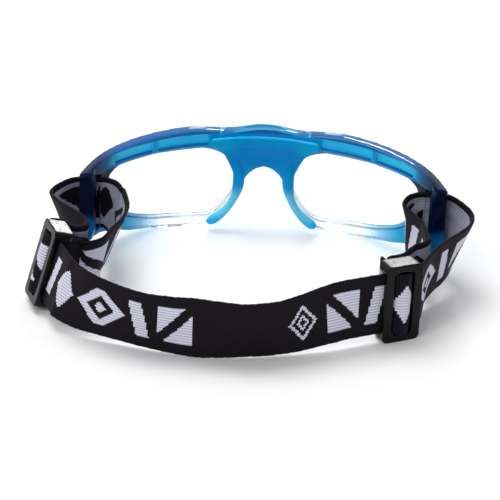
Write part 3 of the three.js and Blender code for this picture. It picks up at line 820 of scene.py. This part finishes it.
def ribbon_piece(name, stations, materials, flipped=False, start=0.0, calm=()):
    """A length of webbing: rounded edges, folds where it is gathered, and a light sway that fades
    out near the calm places. Returns the piece, its length, and its rings' lengths and centres."""
    centre, up, out, width, length = run_of(stations)
    section, kinds = cross_section()
    if flipped:
        out = -out
    gather = np.clip((STRAP_WIDTH - width) / (STRAP_WIDTH - GATHERED), 0, 1)
    a = section[:, 0]
    folds = 0.3 * np.sin(a * 3.4 * math.pi + 0.6) * np.sqrt(np.clip(1 - a**2, 0.05, 1))
    sway = 0.1 * np.sin(length[:, None] * 0.21 + a * 2.2)
    sway = sway + 0.06 * np.sin(length[:, None] * 0.53 - a * 4.1)
    for place in calm:
        nearest = length[np.argmin(np.linalg.norm(centre - place, axis=1))]
        sway *= np.clip((np.abs(length - nearest)[:, None] - 16) / 8, 0, 1)
    offset = gather[:, None] * folds + sway * (1 - gather[:, None])
    offset = offset + section[:, 1] * STRAP_THICK
    fray = 0.06 * np.sin(length * 5.3) + 0.05 * np.sin(length * 9.1 + 1)
    half = width[:, None] / 2 + np.where(np.abs(a) > 0.9, fray[:, None], 0)
    vertices = centre[:, None, :] + up[:, None, :] * (a * half)[:, :, None]
    vertices = vertices + out[:, None, :] * offset[:, :, None]
    vertices = vertices.reshape(-1, 3) * MM + ORIGIN
    rings, count = len(length), len(section)
    faces, slots = [], []
    for ring in range(rings - 1):
        here, there = ring * count, (ring + 1) * count
        for i in range(count):
            j = (i + 1) % count
            faces.append([here + i, here + j, there + j, there + i])
            slots.append(kinds[i])
    faces.append(list(range(count))[::-1])
    faces.append(list(range((rings - 1) * count, rings * count)))
    slots += [SELVEDGE, SELVEDGE]
    u, v = np.repeat(length + start, count), np.tile(a * STRAP_WIDTH / 2, rings)
    places = np.column_stack([u, v])
    piece = woven(link_mesh(name, vertices, faces), materials, slots, places)
    return piece, float(length[-1]), length, centre


def woven(piece, materials, slots, places):
    """Gives a piece of webbing its faces' materials and each vertex's place on the webbing."""
    mesh = piece.data
    for material in materials:
        mesh.materials.append(material)
    mesh.polygons.foreach_set("material_index", slots)
    layer = mesh.uv_layers.new(name="webbing")
    loops = np.zeros(len(mesh.loops), np.int32)
    mesh.loops.foreach_get("vertex_index", loops)
    layer.data.foreach_set("uv", (places[loops] * MM).astype(np.float32).ravel())
    work = bmesh.new()
    work.from_mesh(mesh)
    bmesh.ops.recalc_face_normals(work, faces=work.faces)
    work.to_mesh(mesh)
    work.free()
    return piece


WINDOW = 4.05                   # half the opening between a slider's outer rails
SWELL_FOOT = 0.74               # height of the swell over the webbing's middle at the rails
SWELL_RISE = 4.0
SWELL_THICK = 0.7


def swell_piece(side, materials, middle):
    """Webbing pushed outwards between a slider's rails by the doubled end under it. Its middle is
    a place along the strap, so that the figures carry on across it."""
    centre, along, out, up = glide_axes(side)
    turn = np.linspace(-1, 1, 25)
    rise = SWELL_FOOT + SWELL_RISE * np.clip(np.cos(turn * math.pi / 2), 0, 1) ** 0.6
    across = np.linspace(-1, 1, 41)
    edge = 1 - 0.1 * np.abs(across) ** 10
    layers = []
    for lower in (0.0, SWELL_THICK):
        height = np.maximum(rise - lower, 0.72)[:, None] * edge
        flat = along * (turn * (WINDOW - 0.12 * lower))[:, None]
        place = centre + flat[:, None, :] + out * height[:, :, None]
        layers.append((place + up * (across * STRAP_WIDTH / 2)[:, None]).reshape(-1, 3))
    vertices = np.concatenate(layers) * MM + ORIGIN
    rows, columns = len(turn), len(across)
    faces = []
    for r in range(rows - 1):
        for c in range(columns - 1):
            a = r * columns + c
            quad = [a, a + 1, a + columns + 1, a + columns]
            faces.append(quad)
            faces.append([v + rows * columns for v in quad[::-1]])
    for c in (0, columns - 1):
        for r in range(rows - 1):
            a, b = r * columns + c, (r + 1) * columns + c
            faces.append([a, b, b + rows * columns, a + rows * columns])
    for r in (0, rows - 1):
        for c in range(columns - 1):
            a = r * columns + c
            faces.append([a, a + 1, a + 1 + rows * columns, a + rows * columns])
    direction = 1 if side == "right" else -1
    u = np.repeat(middle + direction * turn * WINDOW, columns)
    v = np.tile(across * STRAP_WIDTH / 2, rows)
    places = np.tile(np.column_stack([u, v]), (2, 1))
    slots = [OUTER] * len(faces)
    piece = woven(link_mesh(f"strap_swell_{side}", vertices, faces), materials, slots, places)
    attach(piece, f"slider_{side}")


# ---- stitching ------------------------------------------------------------------------------
THREAD_RADIUS = 0.2
THREAD_SIDES = 7


def thread_piece(name, path):
    """A thread along a path, as a tube with closed ends."""
    sides = THREAD_SIDES
    along = np.gradient(path, axis=0)
    along /= np.linalg.norm(along, axis=1, keepdims=True)
    helper = np.array([0.31, 0.2, 0.93])
    first = np.cross(along, helper)
    first /= np.linalg.norm(first, axis=1, keepdims=True)
    second = np.cross(along, first)
    turn = np.linspace(0, 2 * math.pi, sides, endpoint=False)
    ring = first[:, None] * np.cos(turn)[None, :, None]
    ring = ring + second[:, None] * np.sin(turn)[None, :, None]
    vertices = (path[:, None] + ring * (THREAD_RADIUS * MM)).reshape(-1, 3)
    faces = [list(range(sides)), list(range(len(vertices) - sides, len(vertices)))[::-1]]
    for k in range(len(path) - 1):
        here, there = k * sides, (k + 1) * sides
        for i in range(sides):
            j = (i + 1) % sides
            faces.append([here + j, here + i, there + i, there + j])
    return link_mesh(name, vertices, faces)


TACK_FACE = 1 + STRAP_THICK / 2  # from the slider's centre line to the doubled end's face
TACK_DEPTH = 10.0               # from the slider's centre towards the head
TACK_LENGTH = 16.0
TACK_WIDTH = 2.6
TACK_TURNS = 34
TACK_SAMPLES = 6                # places on the thread for each turn


def bar_tack(side):
    """Dense zigzag stitching in thread, on the slider's axes."""
    centre, along, out, up = glide_axes(side)
    if side == "left":
        along = -along
    steps = TACK_TURNS * TACK_SAMPLES
    path = []
    for k in range(steps + 1):
        share = k / steps
        swing = 2 / math.pi * math.asin(math.sin(share * TACK_TURNS * 2 * math.pi))
        lift = 0.22 + 0.16 * math.cos(swing * math.pi / 2)
        place = centre - along * (TACK_FACE + lift + 0.02)
        place = place + out * (-TACK_DEPTH + swing * TACK_WIDTH / 2 * 0.9)
        path.append(place + up * (share - 0.5) * TACK_LENGTH)
    return thread_piece(f"tack_stitches_{side}", np.array(path) * MM + ORIGIN)


# ---- studio ---------------------------------------------------------------------------------
LIT_PLACE = Vector((0, 0, 0.015))
FLOOR_REACH = 6.0


def softbox(name, place, size, power):
    data = bpy.data.lights.new(name, "AREA")
    data.shape = "RECTANGLE"
    data.size, data.size_y = size
    data.energy = power
    lamp = bpy.data.objects.new(name, data)
    bpy.context.scene.collection.objects.link(lamp)
    lamp.location = place
    lamp.rotation_euler = (LIT_PLACE - Vector(place)).to_track_quat("-Z", "Y").to_euler()


def studio():
    world = bpy.data.worlds.new("studio")
    bpy.context.scene.world = world
    world.use_nodes = True
    n = Nodes(world.node_tree)
    n.tree.nodes.clear()
    direction = n.add("ShaderNodeTexCoord").outputs["Generated"]
    ahead = n.split(direction)[1]
    glow = n.step(ahead, -0.7, 0.6, 0.22, 0.86)
    back = n.add("ShaderNodeBackground", {"Color": (1, 1, 1, 1), "Strength": glow})
    n.add("ShaderNodeOutputWorld", {"Surface": back.outputs[0]})
    # three small boxes that only the bridge's bump and the tops of the two sliders mirror
    softbox("bump_box", (0.005, 1.1, 0.46), (0.04, 0.04), 0.04)
    softbox("right_box", (0.125, 1.1, 0.605), (0.12, 0.07), 1.0)
    softbox("left_box", (0.028, 1.1, 0.32), (0.1, 0.08), 0.6)
    softbox("top_box", (-0.3, 0.35, 1.2), (0.7, 0.7), 8.2)
    softbox("front_box", (-0.5, -1.1, 1.0), (0.8, 0.6), 7.0)
    corners = [(-1, -1, 0), (1, -1, 0), (1, 1, 0), (-1, 1, 0)]
    floor = link_mesh("floor", [Vector(c) * FLOOR_REACH for c in corners], [[0, 1, 2, 3]])
    floor.data.materials.append(floor_material())
    bpy.context.scene.view_settings.view_transform = "Standard"


# ---- the object -----------------------------------------------------------------------------
add_camera()
studio()

shell = rounded(
    "front_frame", "front_shell", voxel=0.34 * MM, rounds=6, wrapped=True, reshape=softened_front
)
finish_piece(shell, polycarbonate(), "front_frame", "frame")

clear = lens_material()
for side, node in ((-1, "lens_left"), (1, "lens_right")):
    finish_piece(lens_piece(side), clear, node, "frame")

pad = rounded(
    "nose_pad", "nose_pad_moulding", voxel=0.3 * MM, rounds=20, wrapped=True, reshape=pad_relief
)
finish_piece(pad, silicone(), "nose_pad", "frame")

figures = figures_group()
selvedge = webbing("webbing_selvedge", figures, reverse=False)
outer = webbing("webbing_outer", figures, reverse=False)
reverse = webbing("webbing_reverse", figures, reverse=True)
cloth = [outer, reverse, selvedge]
centres = [np.array(GLIDES[side][0]) for side in ("left", "right")]
PHASE = 65.0                    # where the strap starts on the woven pattern
strap, strap_length, runs, route = ribbon_piece(
    "strap_webbing", MAIN, cloth, start=PHASE, calm=centres
)
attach(strap, "frame")
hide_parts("strap")

# The doubled ends: stations, which way out they face, start on the pattern, and the first and
# last place of a stretch towards their slider.
tails = {
    "left": (TAIL_LEFT, True, 30.0, (-56.6, -48, 20), (-65, -84, 15)),
    "right": (TAIL_RIGHT, False, 0.0, (57.2, -49, 19), (54.6, -88.4, 16)),
}
for side, (stations, flipped, start, begin, end) in tails.items():
    tail, tail_length, _, _ = ribbon_piece(
        f"strap_end_{side}", stations, cloth, flipped=flipped, start=start
    )
    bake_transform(tail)
    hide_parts(f"strap_tail_{side}")

for side, middle in zip(("left", "right"), centres):
    nearest = float(runs[np.argmin(np.linalg.norm(route - middle, axis=1))])
    swell_piece(side, cloth, nearest + PHASE)

gloss = black_plastic()
stitch = thread_material()
for side in ("left", "right"):
    slider = rounded(f"triglide_{side}", f"slider_moulding_{side}", voxel=0.24 * MM, rounds=10)
    finish_piece(slider, gloss, f"triglide_{side}", f"slider_{side}")
    finish_piece(bar_tack(side), stitch, f"bar_tack_{side}", f"slider_{side}")
